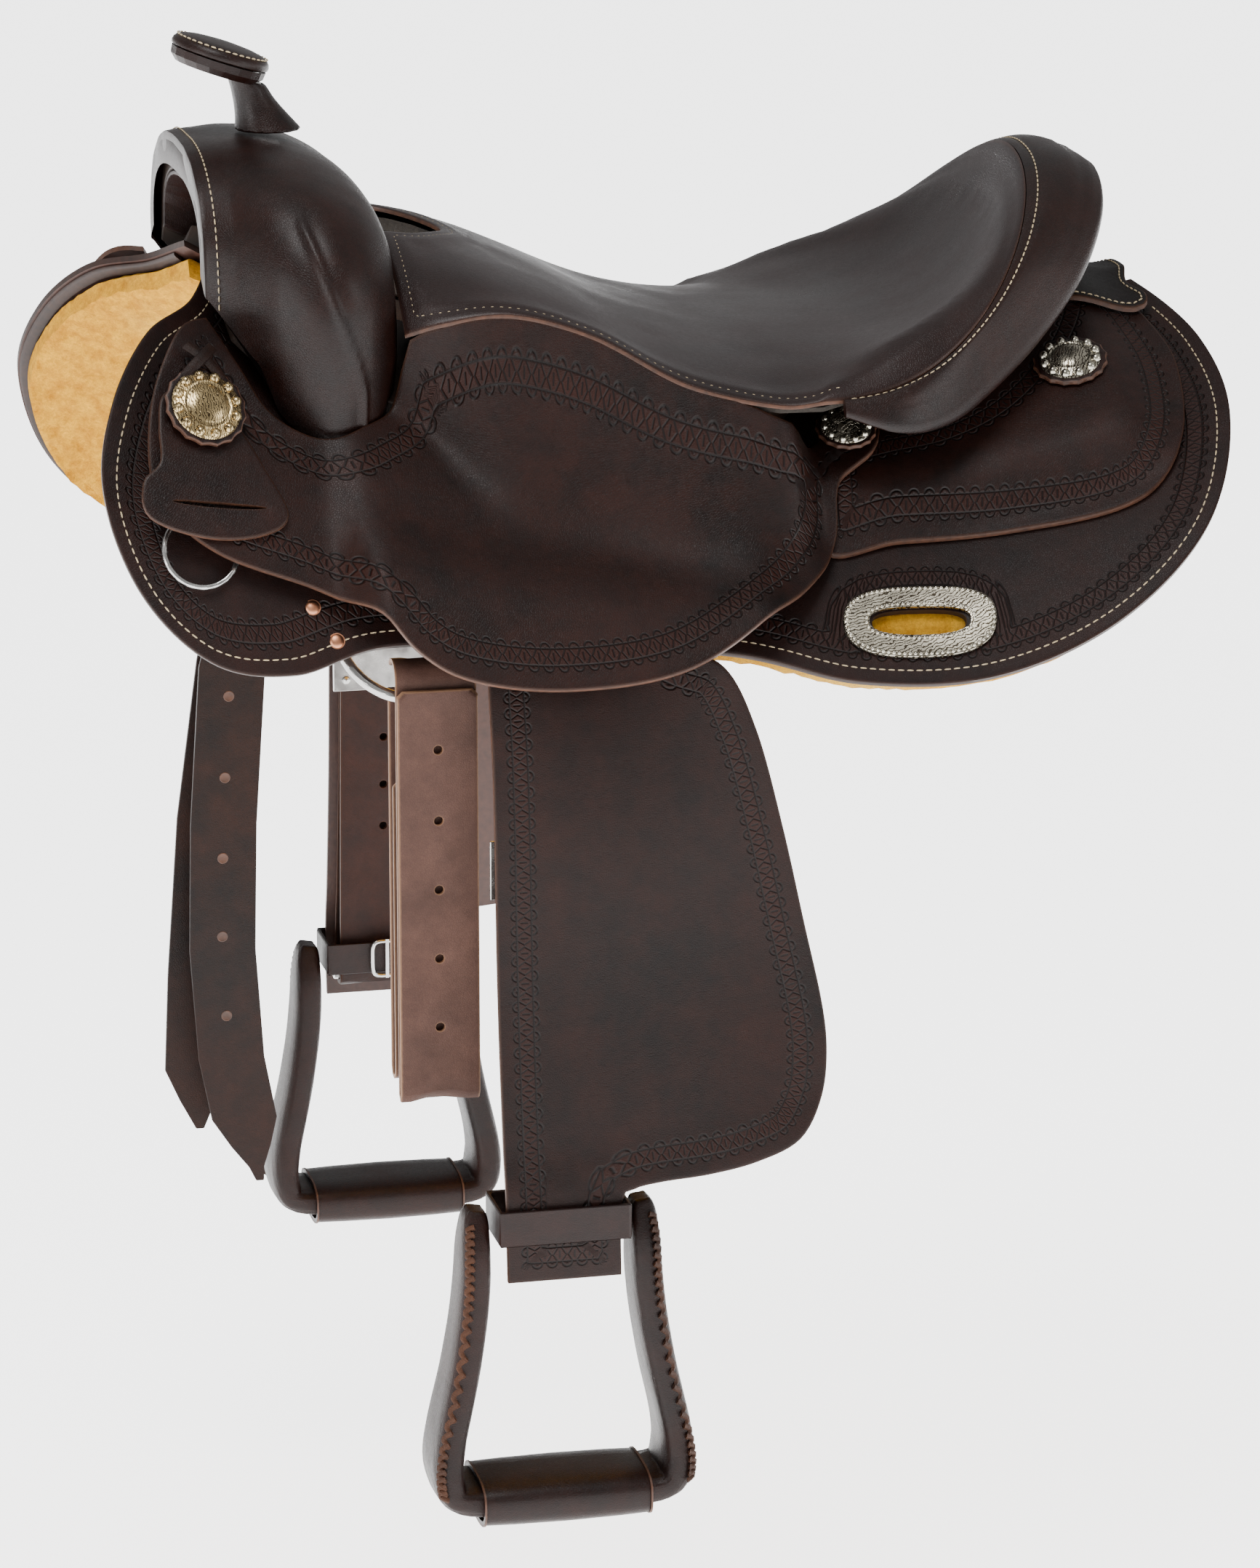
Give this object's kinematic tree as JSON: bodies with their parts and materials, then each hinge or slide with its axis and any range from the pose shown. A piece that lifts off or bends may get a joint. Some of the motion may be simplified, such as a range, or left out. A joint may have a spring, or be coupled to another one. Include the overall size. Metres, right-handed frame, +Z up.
{
  "type": "western saddle",
  "caption": "Western pleasure saddle: horned fork, padded seat with leather cantle roll, tooled skirts over golden fleece, hanging fenders, leather-covered stirrups and cinch straps.",
  "frame": {"origin": "on the horse's spine, under the lowest point of the rider's seat", "axes": "+X to the rear of the saddle, +Y to the off (right) side, +Z up"},
  "size_m": [0.6476, 0.5816, 0.7929],
  "materials": {
    "dark_leather": "dark brown vegetable-tanned skirting leather, oiled and tooled",
    "seat_hide": "smooth dark brown seat hide, semi-gloss",
    "oiled_leather": "mauve-brown oiled strap leather, matt",
    "raw_leather": "reddish-brown flesh-side leather, matt",
    "fleece": "golden woolskin pile",
    "foam": "seat padding foam",
    "tree_wood": "rawhide-covered wooden tree",
    "silver": "engraved silver-coloured plate",
    "stainless": "polished stainless steel"
  },
  "bodies": {
    "saddle": {"back_jockey_near": "dark_leather", "back_jockey_off": "dark_leather", "breast_ring_tab_near": "dark_leather", "breast_ring_tab_off": "dark_leather", "cantle_back": "dark_leather", "cantle_roll": "dark_leather", "concho_front_near": "silver", "concho_front_off": "silver", "concho_mid_near": "silver", "concho_mid_off": "silver", "concho_rear_near": "silver", "concho_rear_off": "silver", "fleece_near": "fleece", "fleece_off": "fleece", "ground_seat": "tree_wood", "gullet_lining": "dark_leather", "horn_cap_bottom": "dark_leather", "horn_cap_top": "dark_leather", "horn_core": "stainless", "horn_neck_wrap": "dark_leather", "latigo_keeper_near": "dark_leather", "latigo_keeper_off": "dark_leather", "rear_plate": "dark_leather", "rigging_strap_near": "dark_leather", "rigging_strap_off": "dark_leather", "seat_foam": "foam", "seat_jockey_near": "dark_leather", "seat_jockey_off": "dark_leather", "seat_leather": "seat_hide", "skirt_near": "dark_leather", "skirt_off": "dark_leather", "slot_plate_near": "silver", "slot_plate_off": "silver", "swell_cover": "dark_leather", "tree_bar_near": "tree_wood", "tree_bar_off": "tree_wood", "tree_cantle": "tree_wood", "tree_fork": "tree_wood"},
    "fender_near": {"fender_near": "dark_leather", "stirrup_leather_near": "raw_leather", "adjuster_plate_near": "stainless", "hobble_strap_near": "dark_leather", "hobble_buckle_near": "stainless"},
    "stirrup_near": {"stirrup_frame_near": "dark_leather", "tread_cover_near": "dark_leather", "stirrup_bolt_near": "stainless"},
    "rigging_ring_near": {"rigging_ring_near": "stainless"},
    "breast_ring_near": {"breast_ring_near": "stainless"},
    "fender_off": {"fender_off": "dark_leather", "stirrup_leather_off": "raw_leather", "adjuster_plate_off": "stainless", "hobble_strap_off": "dark_leather", "hobble_buckle_off": "stainless"},
    "stirrup_off": {"stirrup_frame_off": "dark_leather", "tread_cover_off": "dark_leather", "stirrup_bolt_off": "stainless"},
    "rigging_ring_off": {"rigging_ring_off": "stainless"},
    "breast_ring_off": {"breast_ring_off": "stainless"},
    "latigo": {"latigo_near": "oiled_leather"},
    "billet": {"off_billet": "oiled_leather"}
  },
  "joints": [
    {"name": "fender_swing_near", "type": "hinge", "parent": "saddle", "child": "fender_near", "pos_m": [-0.14, -0.15, -0.035], "axis": [0, 1, 0], "range_deg": [-3, 12]},
    {"name": "stirrup_swing_near", "type": "hinge", "parent": "fender_near", "child": "stirrup_near", "pos_m": [-0.1515, -0.262, -0.415], "axis": [-1, 0, 0], "range_deg": [-45, 45]},
    {"name": "rigging_ring_swing_near", "type": "hinge", "parent": "saddle", "child": "rigging_ring_near", "pos_m": [-0.217, -0.1661, -0.0555], "axis": [1, 0, 0], "range_deg": [-2, 4]},
    {"name": "latigo_swing", "type": "hinge", "parent": "rigging_ring_near", "child": "latigo", "pos_m": [-0.217, -0.2126, -0.1219], "axis": [1, 0, 0], "range_deg": [-25, 0]},
    {"name": "breast_ring_swing_near", "type": "hinge", "parent": "saddle", "child": "breast_ring_near", "pos_m": [-0.332, -0.1835, -0.0197], "axis": [1, 0, 0], "range_deg": [-5, 2]},
    {"name": "fender_swing_off", "type": "hinge", "parent": "saddle", "child": "fender_off", "pos_m": [-0.14, 0.15, -0.035], "axis": [0, 1, 0], "range_deg": [-3, 12]},
    {"name": "stirrup_swing_off", "type": "hinge", "parent": "fender_off", "child": "stirrup_off", "pos_m": [-0.1515, 0.262, -0.415], "axis": [1, 0, 0], "range_deg": [-45, 45]},
    {"name": "rigging_ring_swing_off", "type": "hinge", "parent": "saddle", "child": "rigging_ring_off", "pos_m": [-0.217, 0.1661, -0.0555], "axis": [-1, 0, 0], "range_deg": [-2, 4]},
    {"name": "billet_swing", "type": "hinge", "parent": "rigging_ring_off", "child": "billet", "pos_m": [-0.217, 0.2126, -0.1219], "axis": [-1, 0, 0], "range_deg": [-25, 0]},
    {"name": "breast_ring_swing_off", "type": "hinge", "parent": "saddle", "child": "breast_ring_off", "pos_m": [-0.332, 0.1835, -0.0197], "axis": [-1, 0, 0], "range_deg": [-5, 2]}
  ]
}
